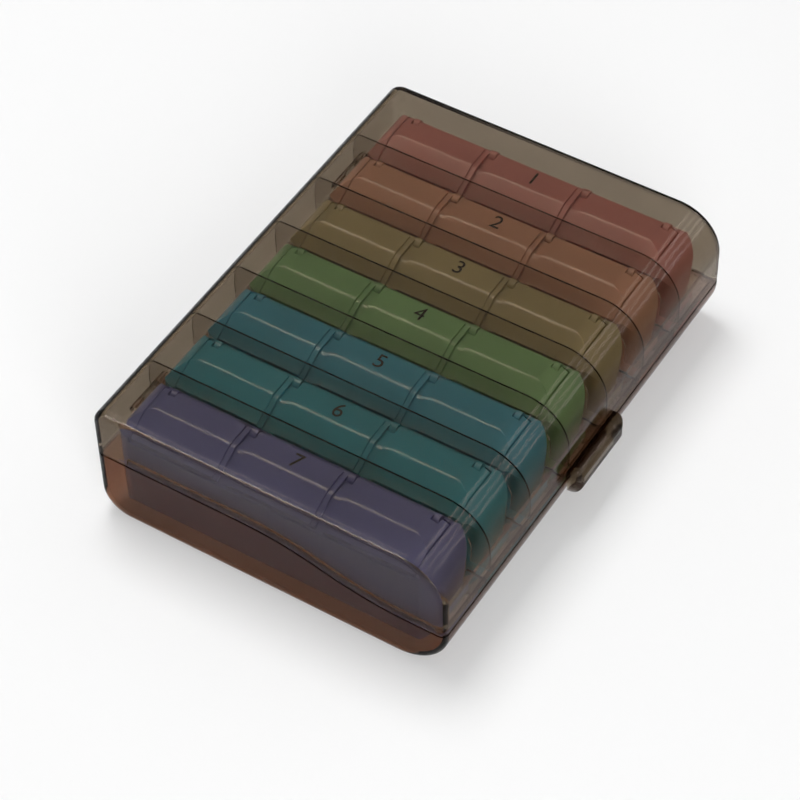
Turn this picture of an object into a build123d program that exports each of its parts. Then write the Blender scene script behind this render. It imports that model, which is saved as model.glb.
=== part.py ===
from build123d import *
import os

# Weekly pill box: a see-through hinged case that holds seven lift-out day trays, each with three flip lids.
# +X runs from the hinge side to the latch side, +Y from the near end to the far end, and +Z is up.
# The origin is on the resting face, under the middle of the case body. Lengths are in millimetres.

# Case shell
body_width = 114.0
body_length = 156.0
case_height = 42.0
case_wall = 1.8
top_hinge_radius = 5.5
top_latch_radius = 14.5
bottom_hinge_radius = 9.3
bottom_latch_radius = 15.5
end_edge_radius = 2.2
cut_overrun = 10.0
fuse_overlap = 0.4

# Parting line between lid and base: high at the hinge, an S bend, then low at the latch
parting_hinge_height = 24.0
parting_latch_height = 16.0
parting_bend_start = 48.0
parting_bend_length = 54.0
parting_gap = 0.3
parting_groove_depth = 0.4
parting_groove_margin = 0.25

# Locating lip that stands up from the base inside the lid
lip_height = 0.8
lip_thickness = 0.8
lip_clearance = 0.3
lip_root = 1.0
lip_hinge_setback = 8.0

# Case hinge: two stations, each a lid knuckle with moulded stub pins between two base ears
hinge_station_offset = 52.4
hinge_axis_inset = 0.3
knuckle_radius = 1.9
knuckle_length = 7.0
ear_length = 4.2
hinge_pin_radius = 0.9
hinge_pin_reach = 3.2
hinge_pin_clearance = 0.05
hinge_clearance = 0.3
hinge_edge_chamfer = 0.8

# Thumb tab on the lid, and the catch on the base that sits in a pocket behind it
tab_length = 27.0
tab_reach = 4.4
tab_rise = 3.4
tab_drop = 3.6
tab_plan_radius = 3.4
tab_top_radius = 2.4
tab_foot_radius = 1.6
catch_length = 16.0
catch_depth = 1.2
catch_height = 1.4
catch_below_parting = 0.6
catch_lead = 0.8
catch_clearance = 0.4

# Partition fins under the lid, in the gaps between the trays
lid_fin_thickness = 0.5
lid_fin_depth = 8.0
lid_fin_hinge_width = 4.0
lid_fin_latch_width = 5.0
lid_fin_hinge_radius = 3.0
lid_fin_latch_radius = 9.0
lid_fin_foot_rise = 2.0

# Partition fins in the base between the trays
base_fin_thickness = 0.8
base_fin_height = 13.4
base_fin_floor = 3.0
base_fin_hinge_width = 2.6
base_fin_latch_width = 6.0
base_fin_inner_radius = 5.0

# Day trays
tray_count = 7
tray_hinge_gap = 1.8
tray_latch_gap = 3.6
tray_end_gap = 2.35
tray_spacing = 1.4
tray_headroom = 4.0
tray_seat_gap = 0.2
tray_wall = 1.2
tray_top_hinge_radius = 10.0
tray_top_latch_share = 0.37
tray_long_edge_radius = 4.0
tray_plan_radius = 6.0
form_relief = 0.05
crest_offset = 0.8
crest_radius = 3.0
front_slope_drop = 4.4
front_edge_radius = 0.6
rear_slope_drop = 3.0
rear_edge_radius = 0.8

# Compartments and their flip lids
compartment_count = 3
tray_end_cap = 4.95
divider_thickness = 2.0
flap_spacing = 2.8
flap_thickness = 1.4
flap_seat_gap = 0.3
flap_side_gap = 0.3
flap_front_inset = 0.45
flap_border_width = 1.6
flap_border_drop = 0.6
seat_width = 1.0

# Flip lid hinges: a barrel along each flap with a stub pin at both ends, in posts on the tray's rear wall
flap_axis_inset = 2.8
outer_hinge_inset = 4.6
flap_axis_depth = 1.8
barrel_radius = 1.25
hinge_post_radius = 1.7
hinge_post_depth = 3.0
end_post_thickness = 1.8
flap_pin_radius = 0.7
flap_pin_reach = 0.9
flap_pin_clearance = 0.05
flap_pin_end_gap = 0.3
flap_hinge_gap = 0.3

# Places that follow from the sizes above
hinge_wall = -body_width / 2
latch_wall = body_width / 2
ceiling = case_height - case_wall
inner_hinge = hinge_wall + case_wall
inner_latch = latch_wall - case_wall
hinge_x = hinge_wall + hinge_axis_inset
tray_low_x = inner_hinge + tray_hinge_gap
tray_high_x = inner_latch - tray_latch_gap
tray_length = tray_high_x - tray_low_x
tray_width = (body_length - 2 * (case_wall + tray_end_gap) - (tray_count - 1) * tray_spacing) / tray_count
tray_pitch = tray_width + tray_spacing
tray_floor = case_wall + tray_seat_gap
tray_top = ceiling - tray_headroom
flap_pitch = (tray_length - 2 * tray_end_cap) / compartment_count
flap_length = flap_pitch - flap_spacing
rim_drop = flap_thickness + flap_seat_gap
flap_axis_y = tray_width / 2 - flap_axis_inset
flap_axis_z = tray_top - flap_axis_depth

TRAY_COLOURS = ["red", "orange", "yellow", "green", "blue", "teal", "purple"]
FLAP_PLACES = ["left", "middle", "right"]


def side_slab(outline, low_y, high_y):
    """A solid drawn in X and Z that fills Y from low_y to high_y."""
    return Pos(0, high_y, 0) * extrude(Plane.XZ * make_face(outline), amount=high_y - low_y)


def end_slab(outline, low_x, high_x):
    """A solid drawn in Y and Z that fills X from low_x to high_x."""
    return Pos(low_x, 0, 0) * extrude(Plane.YZ * make_face(outline), amount=high_x - low_x)


def block(low, high):
    """A plain box between two corners."""
    size = [b - a for a, b in zip(low, high)]
    return Pos(*low) * Box(*size, align=(Align.MIN, Align.MIN, Align.MIN))


def rod_along_x(low_x, high_x, y, z, radius):
    return Pos(low_x, y, z) * extrude(Plane.YZ * Circle(radius), amount=high_x - low_x)


def rod_along_y(low_y, high_y, x, z, radius):
    return Pos(x, high_y, z) * extrude(Plane.XZ * Circle(radius), amount=high_y - low_y)


def rounded_outline(low_x, high_x, low_z, high_z, radii):
    """A four-sided outline with a radius at each corner, from the low hinge corner round by the latch side."""
    corners = [(low_x, low_z), (high_x, low_z), (high_x, high_z), (low_x, high_z)]
    return FilletPolyline(*corners, radius=radii, close=True)


def case_block(inset):
    """The case's outer form, drawn in by inset on every side."""
    radii = [bottom_hinge_radius, bottom_latch_radius, top_latch_radius, top_hinge_radius]
    outline = rounded_outline(
        hinge_wall + inset, latch_wall - inset, inset, case_height - inset, [r - inset for r in radii]
    )
    half = body_length / 2 - inset
    return side_slab(outline, -half, half)


def below_parting(lift):
    """All the space under the parting line, with that line raised by lift."""
    hinge_z = parting_hinge_height + lift
    latch_z = parting_latch_height + lift
    start_x = hinge_wall + parting_bend_start
    end_x = start_x + parting_bend_length
    middle = ((start_x + end_x) / 2, (hinge_z + latch_z) / 2)
    first_bend = TangentArc((start_x, hinge_z), middle, tangent=(1, 0))
    second_bend = TangentArc(middle, (end_x, latch_z), tangent=first_bend % 1)
    low_x = hinge_wall - cut_overrun
    high_x = latch_wall + cut_overrun
    rest = Polyline(
        (end_x, latch_z), (high_x, latch_z), (high_x, -cut_overrun),
        (low_x, -cut_overrun), (low_x, hinge_z), (start_x, hinge_z),
    )
    reach = body_length / 2 + cut_overrun
    return side_slab(first_bend + second_bend + rest, -reach, reach)


def case_outside(inset):
    """The case's outer form with its end edges rounded, drawn in by inset on every side."""
    form = case_block(inset)
    end_faces = form.faces().sort_by(Axis.Y)
    return fillet(end_faces[0].edges() + end_faces[-1].edges(), end_edge_radius - inset)


def case_shell():
    """The hollow case before it is parted into lid and base, with a groove along the parting line."""
    band = below_parting(parting_gap + parting_groove_margin) - below_parting(-parting_groove_margin)
    groove = band - case_outside(parting_groove_depth)
    return case_outside(0) - case_block(case_wall) - groove


def fin_places():
    """The middle of each gap between neighbouring trays, from the near end."""
    first = -(tray_count - 2) / 2 * tray_pitch
    return [first + i * tray_pitch for i in range(tray_count - 1)]


def fin_slab(y, thickness):
    """A thin slice of the case's inside at one gap between trays, rooted in the walls."""
    half = thickness / 2
    slice_box = block((hinge_wall, y - half, 0), (latch_wall, y + half, case_height))
    return slice_box & case_block(case_wall - fuse_overlap)


def lid_fin(y):
    """A partition that follows the lid's ceiling and runs down both its walls between two trays."""
    pocket = rounded_outline(
        inner_hinge + lid_fin_hinge_width, inner_latch - lid_fin_latch_width, 0, ceiling - lid_fin_depth,
        [0, 0, lid_fin_latch_radius, lid_fin_hinge_radius],
    )
    fin = fin_slab(y, lid_fin_thickness) - side_slab(pocket, y - cut_overrun, y + cut_overrun)
    return fin - below_parting(parting_gap + lid_fin_foot_rise)


def base_fin(y):
    """A U-shaped partition that rises from the base's floor and walls between two trays."""
    pocket = rounded_outline(
        inner_hinge + base_fin_hinge_width, inner_latch - base_fin_latch_width,
        case_wall + base_fin_floor, case_height,
        [base_fin_inner_radius, base_fin_inner_radius, 0, 0],
    )
    above = block((hinge_wall, y - cut_overrun, base_fin_height), (latch_wall, y + cut_overrun, case_height))
    fin = fin_slab(y, base_fin_thickness) - side_slab(pocket, y - cut_overrun, y + cut_overrun)
    return fin - above


def base_lip():
    """The thin lip on three sides of the base, on a ledge that joins it to the wall."""
    lip_face = case_wall + lip_clearance
    inner = case_block(lip_face + lip_thickness)
    lip = (case_block(lip_face) - inner) & (below_parting(lip_height) - below_parting(-lip_root))
    ledge = (case_block(case_wall - fuse_overlap) - inner) & (below_parting(0) - below_parting(-lip_root))
    reach = body_length / 2
    hinge_side = block(
        (hinge_wall - cut_overrun, -reach, 0), (inner_hinge + lip_hinge_setback, reach, case_height)
    )
    return lip + ledge - hinge_side


def hinge_stations():
    return [-hinge_station_offset, hinge_station_offset]


def ear_span(station, side):
    """The two ends, along Y, of the base ear on one side of a hinge station."""
    inner = station + side * (knuckle_length / 2 + hinge_clearance)
    outer = inner + side * ear_length
    return min(inner, outer), max(inner, outer)


def knuckle_rod(station, radius, reach):
    """A rod on the hinge axis, as long as the lid's knuckle plus reach at each end."""
    half = knuckle_length / 2 + reach
    return rod_along_y(station - half, station + half, hinge_x, parting_hinge_height, radius)


def thumb_tab():
    """The rounded bar at the middle of the latch side, with a pocket behind it for the catch.

    The plan stands a hair outside the outline, so that they share no face.
    """
    top_z = parting_latch_height + tab_rise
    foot_z = parting_latch_height - tab_drop
    root_x = latch_wall - fuse_overlap
    out_x = latch_wall + tab_reach
    outline = rounded_outline(root_x, out_x, foot_z, top_z, [0, tab_foot_radius, tab_top_radius, 0])
    tab = side_slab(outline, -tab_length, tab_length)
    plan = Pos(latch_wall, 0, 0) * RectangleRounded(2 * (tab_reach + form_relief), tab_length, tab_plan_radius)
    tab &= extrude(plan, amount=case_height)
    edge_z = parting_latch_height + parting_gap
    pocket_half = catch_length / 2 + catch_clearance
    wall_gap_x = latch_wall + catch_clearance
    tab -= block((latch_wall - cut_overrun, -tab_length, 0), (wall_gap_x, tab_length, edge_z))
    return tab - block((latch_wall, -pocket_half, 0), (wall_gap_x + catch_depth, pocket_half, edge_z))


def catch_ridge():
    """The ridge on the base's latch wall that sits in the tab's pocket."""
    high_z = parting_latch_height - catch_below_parting
    low_z = high_z - catch_height
    root_x = latch_wall - fuse_overlap
    tip_x = latch_wall + catch_depth
    outline = Polyline(
        (root_x, low_z), (tip_x, low_z + catch_lead), (tip_x, high_z), (root_x, high_z), close=True
    )
    return side_slab(outline, -catch_length / 2, catch_length / 2)


def make_case_base(shell):
    base = (shell & below_parting(0)) + base_lip() + catch_ridge()
    for y in fin_places():
        base += base_fin(y)
    for station in hinge_stations():
        base -= knuckle_rod(station, knuckle_radius + hinge_clearance, hinge_clearance)
        for side in (-1, 1):
            low_y, high_y = ear_span(station, side)
            base += rod_along_y(low_y, high_y, hinge_x, parting_hinge_height, knuckle_radius)
        base -= knuckle_rod(station, hinge_pin_radius + hinge_pin_clearance, hinge_clearance + ear_length)
    return base


def make_case_lid(shell):
    lid = shell - below_parting(parting_gap) + thumb_tab()
    for y in fin_places():
        lid += lid_fin(y)
    edge_z = parting_hinge_height + parting_gap
    swing_room = Polyline(
        (hinge_wall, edge_z), (hinge_wall + hinge_edge_chamfer, edge_z), (hinge_wall, edge_z + hinge_edge_chamfer),
        close=True,
    )
    lid -= side_slab(swing_room, -body_length / 2, body_length / 2)
    for station in hinge_stations():
        for side in (-1, 1):
            low_y, high_y = ear_span(station, side)
            lid -= rod_along_y(
                low_y - hinge_clearance, high_y + hinge_clearance,
                hinge_x, parting_hinge_height, knuckle_radius + hinge_clearance,
            )
        lid += knuckle_rod(station, knuckle_radius, 0)
        lid += knuckle_rod(station, hinge_pin_radius, hinge_clearance + hinge_pin_reach)
    return lid


def tray_side_outline(inset, high_z):
    """A tray seen from its long side, drawn in by inset, up to high_z."""
    radii = [
        bottom_hinge_radius - case_wall - tray_seat_gap,
        bottom_latch_radius - case_wall - tray_seat_gap,
        tray_top_latch_share * (tray_top - tray_floor),
        tray_top_hinge_radius,
    ]
    return rounded_outline(
        tray_low_x + inset, tray_high_x - inset, tray_floor + inset - form_relief, high_z, [r - inset for r in radii]
    )


def tray_end_outline(inset, drop):
    """A tray seen from its end: flat top at the rear, a crest, then the sloped front, all lowered by drop."""
    half = tray_width / 2 - inset
    low_z = tray_floor + inset
    high_z = tray_top - drop
    bottom_radius = tray_long_edge_radius - inset
    return FilletPolyline(
        (-half, low_z), (half, low_z), (half, tray_top - rear_slope_drop - inset), (flap_axis_y, high_z),
        (-crest_offset, high_z), (-half, high_z - front_slope_drop),
        radius=[bottom_radius, bottom_radius, 0, rear_edge_radius, crest_radius, front_edge_radius], close=True,
    )


def tray_form(inset, drop):
    """The tray's whole outer form with its sides drawn in by inset and its top lowered by drop.

    The side outline and the plan stand a hair outside the end outline, so that no two of them share a face.
    """
    half = tray_width / 2 + cut_overrun
    form = end_slab(tray_end_outline(inset, drop), tray_low_x - cut_overrun, tray_high_x + cut_overrun)
    form &= side_slab(tray_side_outline(inset, tray_top - drop + form_relief), -half, half)
    margin = 2 * (form_relief - inset)
    plan = RectangleRounded(tray_length + margin, tray_width + margin, tray_plan_radius - inset)
    plan = Pos((tray_low_x + tray_high_x) / 2, 0, 0) * plan
    return form & extrude(plan, amount=case_height)


def flap_middle(i):
    """Where the middle of the i-th flap lies along X."""
    return tray_low_x + tray_end_cap + (i + 1 / 2) * flap_pitch


def barrel_span(i):
    """The two ends, along X, of the i-th flap's barrel, which stops short of the tray's rounded ends."""
    half = flap_length / 2
    low_inset = outer_hinge_inset if i == 0 else 0
    high_inset = outer_hinge_inset if i == compartment_count - 1 else 0
    return flap_middle(i) - half + low_inset, flap_middle(i) + half - high_inset


def end_post_spans():
    """The two ends, along X, of the hinge post at each end of the row of flaps."""
    low_x = barrel_span(0)[0] - flap_side_gap
    high_x = barrel_span(compartment_count - 1)[1] + flap_side_gap
    return [(low_x - end_post_thickness, low_x), (high_x, high_x + end_post_thickness)]


def middle_post_spans():
    """The two ends, along X, of the hinge post between each two flaps."""
    pairs = range(compartment_count - 1)
    return [(barrel_span(i)[1] + flap_side_gap, barrel_span(i + 1)[0] - flap_side_gap) for i in pairs]


def flap_axis_rod(i, reach, radius):
    """A rod on the i-th flap's hinge axis, as long as its barrel plus reach at each end."""
    low_x, high_x = barrel_span(i)
    return rod_along_x(low_x - reach, high_x + reach, flap_axis_y, flap_axis_z, radius)


def across_tray(low_x, high_x):
    """A box over the whole tray between two places along X."""
    half = tray_width / 2 + cut_overrun
    return block((low_x, -half, 0), (high_x, half, case_height))


def hinge_post(low_x, high_x):
    """A round-topped post on the rear wall that carries the pins of the flaps beside it."""
    post = block(
        (low_x, flap_axis_y - hinge_post_radius, flap_axis_z - hinge_post_depth),
        (high_x, flap_axis_y + hinge_post_radius, flap_axis_z),
    )
    return post + rod_along_x(low_x, high_x, flap_axis_y, flap_axis_z, hinge_post_radius)


def make_tray():
    first_flap = flap_middle(0) - flap_length / 2
    last_flap = flap_middle(compartment_count - 1) + flap_length / 2
    full = tray_form(0, 0)
    tray = tray_form(0, rim_drop)
    tray += full & across_tray(tray_low_x, first_flap - flap_side_gap)
    tray += full & across_tray(last_flap + flap_side_gap, tray_high_x)
    hollow = tray_form(tray_wall, rim_drop + tray_wall)
    for i in range(compartment_count):
        middle = flap_middle(i)
        reach = flap_pitch / 2 - divider_thickness / 2
        low_x = tray_low_x if i == 0 else middle - reach
        high_x = tray_high_x if i == compartment_count - 1 else middle + reach
        tray -= hollow & across_tray(low_x, high_x)
        mouth = flap_length / 2 - seat_width
        half = tray_width / 2 - tray_wall
        mouth_z = tray_top - rim_drop - front_slope_drop - 2 * tray_wall
        tray -= block((middle - mouth, -half, mouth_z), (middle + mouth, half, case_height))
        room = flap_length / 2 + flap_side_gap
        tray -= flap_axis_rod(i, flap_side_gap, barrel_radius + flap_hinge_gap)
        tray -= block((middle - room, flap_axis_y, mouth_z), (middle + room, half, case_height))
    for low_x, high_x in end_post_spans() + middle_post_spans():
        tray += hinge_post(low_x, high_x)
    for i in range(compartment_count):
        hole_reach = flap_side_gap + flap_pin_reach + flap_pin_end_gap
        tray -= flap_axis_rod(i, hole_reach, flap_pin_radius + flap_pin_clearance)
    return tray


def make_flap(i):
    """One flip lid: a panel with a lower border beside each neighbour, and its hinge barrel at the rear."""
    low_x = flap_middle(i) - flap_length / 2
    high_x = flap_middle(i) + flap_length / 2
    low_border = 0 if i == 0 else flap_border_width
    high_border = 0 if i == compartment_count - 1 else flap_border_width
    front = -tray_width / 2 + flap_front_inset
    blank = block((low_x, front, tray_floor), (high_x, flap_axis_y, case_height))
    panel = block((low_x + low_border, front, tray_floor), (high_x - high_border, flap_axis_y, case_height))
    flap = blank & tray_form(0, flap_border_drop)
    flap += panel & tray_form(0, 0)
    flap -= tray_form(0, flap_thickness)
    for post_low, post_high in end_post_spans():
        notch_y = flap_axis_y - hinge_post_radius - flap_hinge_gap
        flap -= block((post_low - flap_side_gap, notch_y, 0), (post_high + flap_side_gap, flap_axis_y, case_height))
    flap += flap_axis_rod(i, 0, barrel_radius)
    flap += flap_axis_rod(i, flap_side_gap + flap_pin_reach, flap_pin_radius)
    return flap


def tray_place(day):
    """Where a day's tray lies along Y: the first day is at the far end."""
    return ((tray_count - 1) / 2 - day) * tray_pitch


def write_node(name, solid):
    export_step(solid, os.path.join("parts", name + ".step"))


os.makedirs("parts", exist_ok=True)
shell = case_shell()
write_node("case_base", make_case_base(shell))
write_node("case_lid", make_case_lid(shell))
tray = make_tray()
flaps = [make_flap(i) for i in range(compartment_count)]
for day, colour in enumerate(TRAY_COLOURS):
    place = Pos(0, tray_place(day), 0)
    write_node("tray_" + colour, place * tray)
    for flap, where in zip(flaps, FLAP_PLACES):
        write_node(colour + "_flap_" + where, place * flap)
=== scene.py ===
"""Finishes, printed day numbers and studio for the weekly pill box.

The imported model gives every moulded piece. This script gives the pieces their plastics,
prints a number on each day's middle flip lid, and sets the box on a pale studio floor.
Lengths are in metres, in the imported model's own frame.
"""

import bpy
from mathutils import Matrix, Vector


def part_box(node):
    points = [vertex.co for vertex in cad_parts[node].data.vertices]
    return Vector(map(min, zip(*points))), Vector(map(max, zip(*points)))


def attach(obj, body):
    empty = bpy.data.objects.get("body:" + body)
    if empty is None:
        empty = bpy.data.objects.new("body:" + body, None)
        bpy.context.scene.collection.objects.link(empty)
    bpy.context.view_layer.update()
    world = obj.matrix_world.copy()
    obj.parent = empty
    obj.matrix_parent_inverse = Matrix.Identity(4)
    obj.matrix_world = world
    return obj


bl_info = {
    "name": "Weekly pill box",
    "version": (1, 0, 0),
    "blender": (4, 5, 0),
    "location": "3D View > Sidebar > Pill box",
    "description": "Smoky case, coloured day trays, day numbers and studio for a weekly pill box",
    "category": "Object",
}

from math import cos, radians, sin

import bpy
from bpy.props import FloatProperty, FloatVectorProperty, IntProperty, PointerProperty
from mathutils import Matrix, Vector

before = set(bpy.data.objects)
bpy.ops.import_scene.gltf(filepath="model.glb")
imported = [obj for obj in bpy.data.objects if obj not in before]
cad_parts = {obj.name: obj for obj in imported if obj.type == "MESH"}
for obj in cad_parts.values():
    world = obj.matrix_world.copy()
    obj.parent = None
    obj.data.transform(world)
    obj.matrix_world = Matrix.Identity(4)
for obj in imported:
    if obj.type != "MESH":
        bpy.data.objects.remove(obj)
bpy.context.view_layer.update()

DAY_COLOURS = ("red", "orange", "yellow", "green", "blue", "teal", "purple")
FLAP_PLACES = ("left", "middle", "right")

# Scale of the tint's drift in each finish
CASE_FLOW = 30.0
TRAY_FLOW = 45.0
INK_FLOW = 900.0
FLOOR_FLOW = 3.0

# Fine hairlines on the moulded surfaces, and the scale of their handled patches
HAIRLINE_STRENGTH = 0.02
HAIRLINE_DEPTH = 0.0001
PLASTIC_WEAR = 60.0

# Film of the printed numbers
FIGURE_SHARE = 0.7  # height of a figure as a share of its type size
INK_MOTTLE = 0.5
INK_GLOSS = 0.35
INK_SCUFF = 0.55
INK_WEAR = 500.0

# Floor sheet
FLOOR_MOTTLE = 0.01
FLOOR_ROUGHNESS = 0.9
FLOOR_WHITE = 0.28  # share of plain white in how the floor is seen

# Softboxes: name, place, aim, width, depth, setting of the power, and whether it only glints
SOFTBOXES = (
    ("overhead_softbox", (-0.30, 0.15, 1.0), (0.0, 0.0, 0.02), 0.5, 0.5, "key_watts", False),
    ("front_softbox", (0.80, -0.80, 0.42), (0.0, -0.07, 0.02), 0.9, 0.5, "fill_watts", False),
    ("edge_softbox", (-0.36, -0.71, 0.70), (0.0, -0.07, 0.03), 0.7, 0.7, "edge_watts", True),
    ("veil_softbox", (-0.50, 0.78, 1.05), (0.0, 0.0, 0.04), 1.2, 1.2, "veil_watts", True),
)

# Strip lights that follow the round of the latch side
STRIP_REACH = 1.1
STRIP_AIM = (0.05, 0.6, 0.03)
STRIP_WIDTH = 0.13
STRIP_LENGTH = 2.0

GLOW_SPREAD = radians(42.0)
SENSOR_WIDTH = 36.0
CLIP_START = 0.01
LIGHT_BOUNCES = 32


def colour_property(name, description, default):
    """A colour that a user can change."""
    return FloatVectorProperty(
        name=name, description=description, default=default, subtype="COLOR", size=3, min=0.0, max=1.0
    )


def factor_property(name, description, default):
    """A share that a user can change."""
    return FloatProperty(
        name=name, description=description, default=default, subtype="FACTOR", min=0.0, max=1.0
    )


def length_property(name, description, default):
    """A length that a user can change."""
    return FloatProperty(name=name, description=description, default=default, unit="LENGTH", precision=5)


def power_property(name, description, default):
    """A lamp's power that a user can change."""
    return FloatProperty(name=name, description=description, default=default, unit="POWER")


def angle_property(name, description, degrees):
    """An angle that a user can change."""
    return FloatProperty(name=name, description=description, default=radians(degrees), subtype="ANGLE")


class PillBoxCase(bpy.types.PropertyGroup):
    """The smoky see-through case."""

    skin: colour_property("Skin", "What the surface of one wall lets through", (0.97, 0.96, 0.95))
    lid_smoke: colour_property("Lid smoke", "Colour of the smoke in the lid", (0.45, 0.37, 0.25))
    # The base's smoke is browner than the lid's: partly the plastic's own tint, partly painted shade and
    # warm reflection on the base's walls.
    base_smoke_and_painted_shade: colour_property("Base smoke", "Colour of the smoke in the base", (0.64, 0.43, 0.25))
    lid_density: FloatProperty(
        name="Lid density", description="How thick the lid's smoke is, per metre", default=580.0
    )
    # The base's smoke is thicker than the lid's, which paints darker shade onto the base's walls.
    base_density_and_painted_shade: FloatProperty(
        name="Base density", description="How thick the base's smoke is, per metre", default=900.0
    )
    glint: colour_property("Glint", "Colour of the surface's reflections", (0.95, 0.82, 0.76))
    mottle: factor_property("Mottle", "How far the tint drifts along the flow of the moulding", 0.10)
    gloss: factor_property("Gloss", "Roughness of the clean surface", 0.05)
    scuff: factor_property("Scuff", "Roughness of the handled surface", 0.10)
    refraction: FloatProperty(
        name="Refraction", description="Index of refraction of the plastic", default=1.18
    )


class PillBoxTrays(bpy.types.PropertyGroup):
    """The seven translucent day trays and their flip lids."""

    red: colour_property("Red", "First day's tray", (0.90, 0.40, 0.38))
    orange: colour_property("Orange", "Second day's tray", (0.89, 0.51, 0.37))
    yellow: colour_property("Yellow", "Third day's tray", (0.65, 0.57, 0.33))
    green: colour_property("Green", "Fourth day's tray", (0.37, 0.69, 0.35))
    blue: colour_property("Blue", "Fifth day's tray", (0.13, 0.54, 0.82))
    teal: colour_property("Teal", "Sixth day's tray", (0.11, 0.54, 0.75))
    purple: colour_property("Purple", "Seventh day's tray", (0.27, 0.31, 0.72))
    mottle: factor_property("Mottle", "How far each colour drifts along the flow of the moulding", 0.12)
    gloss: factor_property("Gloss", "Roughness of the clean surface", 0.10)
    scuff: factor_property("Scuff", "Roughness of the handled surface", 0.18)
    clearness: factor_property("Clearness", "Share of light that goes through", 0.30)
    refraction: FloatProperty(
        name="Refraction", description="Index of refraction of the plastic", default=1.52
    )


class PillBoxNumbers(bpy.types.PropertyGroup):
    """The numbers printed on the middle flip lids."""

    height: length_property("Height", "Height of a numeral", 0.0050)
    relief: length_property("Relief", "Thickness of the print", 0.00008)
    offset: length_property("Offset", "How far the print lies behind the middle of the tray", 0.0033)
    ink: colour_property("Ink", "Colour of the print", (0.016, 0.017, 0.019))
    first: IntProperty(name="First", description="Number of the first day", default=1, min=0)


class PillBoxStage(bpy.types.PropertyGroup):
    """Floor, light and camera."""

    floor: colour_property("Floor", "Colour of the floor", (0.90, 0.90, 0.90))
    floor_size: length_property("Floor size", "Side of the floor", 6.0)
    dome: FloatProperty(name="Dome", description="Strength of the light from all round", default=0.29)
    glow: FloatProperty(
        name="Glow", description="Strength of the soft light behind the latch side", default=0.3
    )
    glow_aim: FloatVectorProperty(
        name="Glow aim", description="Where the soft light comes from",
        default=(0.40, 0.555, 0.73), subtype="DIRECTION", size=3,
    )
    key_watts: power_property("Key", "Power of the softbox overhead", 6.9)
    veil_watts: power_property("Veil", "Power of the softbox mirrored in flat tops", 3.6)
    strips: IntProperty(
        name="Strips", description="Number of strip lights that glint on the latch side", default=4, min=0
    )
    strip_lean: angle_property("Lean", "First strip's angle from upright", 16.0)
    strip_step: angle_property("Step", "Angle between strips", 14.0)
    strip_watts: power_property("Strip", "Power of each strip light", 6.0)
    fill_watts: power_property("Fill", "Power of the softbox in front", 9.0)
    edge_watts: power_property("Edge", "Power of the softbox that only glints on edges", 27.0)
    azimuth: angle_property("Azimuth", "Camera's bearing", 33.09)
    elevation: angle_property("Elevation", "Camera's height angle", 48.54)
    roll: angle_property("Roll", "Camera's tilt about its own axis", -1.45)
    eye: FloatVectorProperty(
        name="Eye", description="Where the camera stands",
        default=(0.3017, -0.4725, 0.6383), subtype="TRANSLATION", size=3,
    )
    lens: FloatProperty(name="Lens", description="Focal length in millimetres", default=130.7)


def new_group(name, inputs, outputs):
    """An empty shader node group with named sockets, and its two ends."""
    group = bpy.data.node_groups.new(name, "ShaderNodeTree")
    for label, kind, value in inputs:
        socket = group.interface.new_socket(label, in_out="INPUT", socket_type=kind)
        socket.default_value = value
    for label, kind in outputs:
        group.interface.new_socket(label, in_out="OUTPUT", socket_type=kind)
    return group, group.nodes.new("NodeGroupInput"), group.nodes.new("NodeGroupOutput")


def add_node(tree, kind, links=(), **values):
    """A node with its settings, then links given as (output, input name or index)."""
    node = tree.nodes.new(kind)
    for label, value in values.items():
        setattr(node, label, value)
    for output, label in links:
        tree.links.new(output, node.inputs[label])
    return node


def set_inputs(node, **values):
    """Sets sockets by name, with underscores for spaces, and returns the node."""
    for label, value in values.items():
        node.inputs[label.replace("_", " ")].default_value = value
    return node


def flow_mottle_group():
    """A tint that drifts slowly along the moulding, as pigment does."""
    group, start, end = new_group(
        "flow_mottle",
        [
            ("Tint", "NodeSocketColor", (1, 1, 1, 1)),
            ("Depth", "NodeSocketFloat", 0.1),
            ("Scale", "NodeSocketFloat", 40.0),
        ],
        [("Colour", "NodeSocketColor")],
    )
    place = add_node(group, "ShaderNodeTexCoord")
    noise = add_node(
        group, "ShaderNodeTexNoise", [(place.outputs["Object"], "Vector"), (start.outputs["Scale"], "Scale")]
    )
    set_inputs(noise, Detail=3.0, Roughness=0.55, Distortion=0.6)
    shade = add_node(
        group, "ShaderNodeMath", [(noise.outputs["Fac"], 0), (start.outputs["Depth"], 1)],
        operation="MULTIPLY",
    )
    keep = add_node(group, "ShaderNodeMath", [(shade.outputs[0], 1)], operation="SUBTRACT")
    keep.inputs[0].default_value = 1.0
    drift = add_node(
        group, "ShaderNodeMix", [(start.outputs["Tint"], 6), (keep.outputs[0], 7)],
        blend_type="MULTIPLY", data_type="RGBA",
    )
    drift.inputs[0].default_value = 1.0
    group.links.new(drift.outputs[2], end.inputs["Colour"])
    return group


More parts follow.
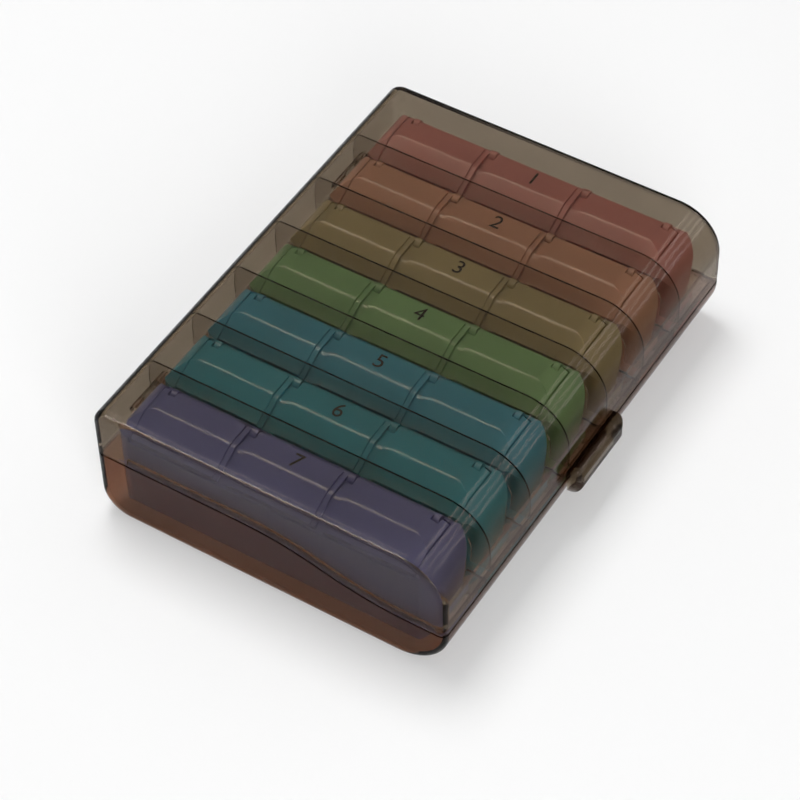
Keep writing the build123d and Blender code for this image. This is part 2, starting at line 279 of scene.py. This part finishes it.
def handling_scuff_group():
    """Patches and hairlines that handling leaves on glossy plastic."""
    group, start, end = new_group(
        "handling_scuff",
        [
            ("Clean", "NodeSocketFloat", 0.05),
            ("Worn", "NodeSocketFloat", 0.2),
            ("Scale", "NodeSocketFloat", PLASTIC_WEAR),
        ],
        [("Roughness", "NodeSocketFloat"), ("Height", "NodeSocketFloat")],
    )
    place = add_node(group, "ShaderNodeTexCoord")
    patch = add_node(
        group, "ShaderNodeTexNoise", [(place.outputs["Object"], "Vector"), (start.outputs["Scale"], "Scale")]
    )
    set_inputs(patch, Detail=4.0, Roughness=0.6)
    worn = add_node(group, "ShaderNodeMapRange", [(patch.outputs["Fac"], "Value")])
    set_inputs(worn, From_Min=0.42, From_Max=0.68)
    stretch = add_node(group, "ShaderNodeMapping", [(place.outputs["Object"], "Vector")])
    set_inputs(stretch, Rotation=(0.0, 0.0, radians(28.0)), Scale=(900.0, 30.0, 300.0))
    hairline = add_node(group, "ShaderNodeTexNoise", [(stretch.outputs["Vector"], "Vector")])
    set_inputs(hairline, Scale=1.0, Detail=2.0)
    rough = add_node(group, "ShaderNodeMapRange", [
        (worn.outputs["Result"], "Value"),
        (start.outputs["Clean"], "To Min"),
        (start.outputs["Worn"], "To Max"),
    ])
    group.links.new(rough.outputs["Result"], end.inputs["Roughness"])
    height = add_node(
        group, "ShaderNodeMath", [(hairline.outputs["Fac"], 0), (patch.outputs["Fac"], 1)],
        operation="MULTIPLY",
    )
    group.links.new(height.outputs[0], end.inputs["Height"])
    return group


def shared_group(name, build):
    """The named node group, built the first time that it is asked for."""
    return bpy.data.node_groups.get(name) or build()


def new_material(name):
    """A material with its node tree and shader."""
    material = bpy.data.materials.new(name)
    material.use_nodes = True
    return material, material.node_tree, material.node_tree.nodes["Principled BSDF"]


def link_tint(tree, shader, tint, mottle, scale):
    """Gives a shader a tint that drifts."""
    flow = add_node(tree, "ShaderNodeGroup", node_tree=shared_group("flow_mottle", flow_mottle_group))
    set_inputs(flow, Tint=(*tint, 1.0), Depth=mottle, Scale=scale)
    tree.links.new(flow.outputs["Colour"], shader.inputs["Base Color"])


def link_wear(tree, shader, gloss, scuff, scale):
    """Gives a shader handled gloss, and returns the wear's node."""
    worn = add_node(tree, "ShaderNodeGroup", node_tree=shared_group("handling_scuff", handling_scuff_group))
    set_inputs(worn, Clean=gloss, Worn=scuff, Scale=scale)
    tree.links.new(worn.outputs["Roughness"], shader.inputs["Roughness"])
    return worn


def moulded(name, tint, finish, flow_scale):
    """A moulded surface with drifting tint, handled gloss and fine hairlines, and its shader."""
    material, tree, shader = new_material(name)
    link_tint(tree, shader, tint, finish.mottle, flow_scale)
    worn = link_wear(tree, shader, finish.gloss, finish.scuff, PLASTIC_WEAR)
    relief = add_node(tree, "ShaderNodeBump", [(worn.outputs["Height"], "Height")])
    set_inputs(relief, Strength=HAIRLINE_STRENGTH, Distance=HAIRLINE_DEPTH)
    tree.links.new(relief.outputs["Normal"], shader.inputs["Normal"])
    return material, shader


def smoky_plastic(name, smoke, density, case):
    """Clear smoky plastic that darkens with its thickness."""
    material, shader = moulded(name, case.skin, case, CASE_FLOW)
    set_inputs(shader, Transmission_Weight=1.0, IOR=case.refraction, Specular_Tint=(*case.glint, 1.0))
    tree = material.node_tree
    haze = set_inputs(add_node(tree, "ShaderNodeVolumeAbsorption"), Color=(*smoke, 1.0), Density=density)
    tree.links.new(haze.outputs[0], tree.nodes["Material Output"].inputs["Volume"])
    return material


def day_plastic(colour, trays):
    """A day's frosted, half see-through plastic."""
    material, shader = moulded(colour + "_plastic", getattr(trays, colour), trays, TRAY_FLOW)
    set_inputs(shader, Transmission_Weight=trays.clearness, IOR=trays.refraction)
    return material


def dress(nodes, material):
    """Gives CAD nodes a material in every slot."""
    for name in nodes:
        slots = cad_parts[name].data.materials
        if not slots:
            slots.append(material)
        for i in range(len(slots)):
            slots[i] = material


class PILLBOX_OT_case(bpy.types.Operator):
    """Give the case's base and lid their smoky plastic"""

    bl_idname = "pillbox.case"
    bl_label = "Case"

    def execute(self, context):
        case = context.scene.pill_box_case
        dress(["case_lid"], smoky_plastic("lid_plastic", case.lid_smoke, case.lid_density, case))
        # The base gets its own browner, thicker smoke: the case's own tint with painted shade and warm
        # reflection on top.
        dress(["case_base"], smoky_plastic("base_plastic", case.base_smoke_and_painted_shade, case.base_density_and_painted_shade, case))
        return {"FINISHED"}


class PILLBOX_OT_trays(bpy.types.Operator):
    """Give each day's tray and flip lids their coloured plastic"""

    bl_idname = "pillbox.trays"
    bl_label = "Day trays"

    def execute(self, context):
        trays = context.scene.pill_box_trays
        for colour in DAY_COLOURS:
            flaps = [colour + "_flap_" + place for place in FLAP_PLACES]
            dress(["tray_" + colour, *flaps], day_plastic(colour, trays))
        return {"FINISHED"}


def print_ink(colour):
    """Dark pad-print ink with a slightly uneven film."""
    material, tree, shader = new_material("print_ink")
    link_tint(tree, shader, colour, INK_MOTTLE, INK_FLOW)
    link_wear(tree, shader, INK_GLOSS, INK_SCUFF, INK_WEAR)
    return material


def numeral_mesh(context, figure, place, numbers):
    """A figure's mesh, lying flat at its place."""
    text = bpy.data.curves.new("day_number", "FONT")
    text.body = figure
    text.size = 1.0 / FIGURE_SHARE
    text.extrude = numbers.relief / numbers.height
    text.align_x = "CENTER"
    text.align_y = "CENTER"
    shape = bpy.data.objects.new("day_number_shape", text)
    context.scene.collection.objects.link(shape)
    shape.scale = (numbers.height, numbers.height, numbers.height)
    shape.location = place
    context.view_layer.update()
    mesh = bpy.data.meshes.new_from_object(shape.evaluated_get(context.evaluated_depsgraph_get()))
    mesh.transform(shape.matrix_world)
    bpy.data.objects.remove(shape)
    bpy.data.curves.remove(text)
    return mesh


class PILLBOX_OT_numbers(bpy.types.Operator):
    """Print each day's number on its middle flip lid"""

    bl_idname = "pillbox.numbers"
    bl_label = "Day numbers"

    def execute(self, context):
        numbers = context.scene.pill_box_numbers
        ink = print_ink(numbers.ink)
        for day, colour in enumerate(DAY_COLOURS):
            flap = colour + "_flap_middle"
            low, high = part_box(flap)
            tray_low, tray_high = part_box("tray_" + colour)
            place = ((low.x + high.x) / 2, (tray_low.y + tray_high.y) / 2 + numbers.offset, high.z)
            mesh = numeral_mesh(context, str(numbers.first + day), place, numbers)
            mesh.materials.clear()
            mesh.materials.append(ink)
            numeral = bpy.data.objects.new(colour + "_day_number", mesh)
            context.scene.collection.objects.link(numeral)
            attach(numeral, flap)
        return {"FINISHED"}


def floor_material(colour):
    """A pale floor that keeps the box's shadow and reads as a white sheet behind it."""
    material, tree, shader = new_material("studio_floor")
    link_tint(tree, shader, colour, FLOOR_MOTTLE, FLOOR_FLOW)
    set_inputs(shader, Roughness=FLOOR_ROUGHNESS, Specular_IOR_Level=0.0)
    white = set_inputs(add_node(tree, "ShaderNodeEmission"), Color=(1.0, 1.0, 1.0, 1.0), Strength=1.0)
    path = add_node(tree, "ShaderNodeLightPath")
    seen = path.outputs["Is Camera Ray"]
    for ray in ("Is Glossy Ray", "Is Transmission Ray"):
        either = add_node(tree, "ShaderNodeMath", [(seen, 0), (path.outputs[ray], 1)], operation="MAXIMUM")
        seen = either.outputs[0]
    share = add_node(tree, "ShaderNodeMath", [(seen, 0)], operation="MULTIPLY")
    share.inputs[1].default_value = FLOOR_WHITE
    blend = add_node(
        tree, "ShaderNodeMixShader", [(share.outputs[0], 0), (shader.outputs[0], 1), (white.outputs[0], 2)]
    )
    tree.links.new(blend.outputs[0], tree.nodes["Material Output"].inputs["Surface"])
    return material


def add_area_light(name, place, aim, width, depth, watts, glints_only):
    """A rectangular softbox, which may be kept out of all but mirror-like reflections."""
    lamp = bpy.data.lights.new(name, "AREA")
    lamp.shape = "RECTANGLE"
    lamp.size = width
    lamp.size_y = depth
    lamp.energy = watts
    light = bpy.data.objects.new(name, lamp)
    out = (Vector(place) - Vector(aim)).normalized()
    across = Vector((0.0, 1.0, 0.0)).cross(out).normalized()
    turn = Matrix((across, out.cross(across), out)).transposed()
    light.matrix_world = Matrix.Translation(place) @ turn.to_4x4()
    light.visible_diffuse = not glints_only
    light.visible_transmission = not glints_only
    bpy.context.scene.collection.objects.link(light)


def add_lights(stage):
    """The softboxes, and the strips that follow the round of the latch side."""
    for name, place, aim, width, depth, power, glints_only in SOFTBOXES:
        add_area_light(name, place, aim, width, depth, getattr(stage, power), glints_only)
    for i in range(stage.strips):
        lean = stage.strip_lean + i * stage.strip_step
        place = (STRIP_REACH * sin(lean), STRIP_AIM[1], STRIP_REACH * cos(lean))
        name = "latch_strip_%d" % (i + 1)
        add_area_light(name, place, STRIP_AIM, STRIP_WIDTH, STRIP_LENGTH, stage.strip_watts, True)


def studio_world(stage):
    """Even light from all round with a broad soft glow on one side."""
    world = bpy.data.worlds.new("studio_dome")
    world.use_nodes = True
    tree = world.node_tree
    sky = tree.nodes["Background"]
    place = add_node(tree, "ShaderNodeTexCoord")
    facing = add_node(
        tree, "ShaderNodeVectorMath", [(place.outputs["Generated"], 0)], operation="DOT_PRODUCT"
    )
    facing.inputs[1].default_value = Vector(stage.glow_aim).normalized()
    swell = add_node(
        tree, "ShaderNodeMapRange", [(facing.outputs["Value"], "Value")], interpolation_type="SMOOTHERSTEP"
    )
    set_inputs(
        swell, From_Min=cos(GLOW_SPREAD), From_Max=1.0, To_Min=stage.dome, To_Max=stage.dome + stage.glow
    )
    tree.links.new(swell.outputs["Result"], sky.inputs["Strength"])
    set_inputs(sky, Color=(1.0, 1.0, 1.0, 1.0))
    return world


def add_camera(scene, stage):
    """The camera at its bearing, height angle and tilt."""
    back = Vector((
        sin(stage.azimuth) * cos(stage.elevation),
        -cos(stage.azimuth) * cos(stage.elevation),
        sin(stage.elevation),
    ))
    right = Vector((cos(stage.azimuth), sin(stage.azimuth), 0.0))
    turn = Matrix((right, back.cross(right), back)).transposed() @ Matrix.Rotation(stage.roll, 3, "Z")
    camera = bpy.data.objects.new("camera", bpy.data.cameras.new("camera"))
    camera.matrix_world = Matrix.Translation(stage.eye) @ turn.to_4x4()
    camera.data.lens = stage.lens
    camera.data.sensor_width = SENSOR_WIDTH
    camera.data.clip_start = CLIP_START
    scene.collection.objects.link(camera)
    scene.camera = camera


class PILLBOX_OT_stage(bpy.types.Operator):
    """Set the floor, the soft light and the camera"""

    bl_idname = "pillbox.stage"
    bl_label = "Studio"

    def execute(self, context):
        scene = context.scene
        stage = scene.pill_box_stage
        bpy.ops.mesh.primitive_plane_add(size=stage.floor_size)
        floor = context.object
        floor.name = "studio_floor"
        floor.data.materials.append(floor_material(stage.floor))
        add_lights(stage)
        scene.world = studio_world(stage)
        add_camera(scene, stage)
        scene.view_settings.view_transform = "Standard"
        scene.cycles.max_bounces = LIGHT_BOUNCES
        scene.cycles.transmission_bounces = LIGHT_BOUNCES
        return {"FINISHED"}


# Settings in the scene, their group and the operator that uses them
SECTIONS = (
    ("pill_box_case", PillBoxCase, PILLBOX_OT_case),
    ("pill_box_trays", PillBoxTrays, PILLBOX_OT_trays),
    ("pill_box_numbers", PillBoxNumbers, PILLBOX_OT_numbers),
    ("pill_box_stage", PillBoxStage, PILLBOX_OT_stage),
)


class PILLBOX_PT_panel(bpy.types.Panel):
    """The pill box's pieces and their settings"""

    bl_idname = "PILLBOX_PT_panel"
    bl_label = "Weekly pill box"
    bl_space_type = "VIEW_3D"
    bl_region_type = "UI"
    bl_category = "Pill box"

    def draw(self, context):
        for name, group, operator in SECTIONS:
            section = self.layout.box()
            section.operator(operator.bl_idname)
            for label in group.__annotations__:
                section.prop(getattr(context.scene, name), label)


def register():
    """Adds the settings, the operators and the panel."""
    for name, group, operator in SECTIONS:
        bpy.utils.register_class(group)
        bpy.utils.register_class(operator)
        setattr(bpy.types.Scene, name, PointerProperty(type=group))
    bpy.utils.register_class(PILLBOX_PT_panel)


def unregister():
    """Takes away what register adds."""
    bpy.utils.unregister_class(PILLBOX_PT_panel)
    for name, group, operator in reversed(SECTIONS):
        delattr(bpy.types.Scene, name)
        bpy.utils.unregister_class(operator)
        bpy.utils.unregister_class(group)


def main():
    """Builds the whole scene."""
    register()
    bpy.ops.pillbox.case()
    bpy.ops.pillbox.trays()
    bpy.ops.pillbox.numbers()
    bpy.ops.pillbox.stage()


if __name__ == "__main__":
    main()
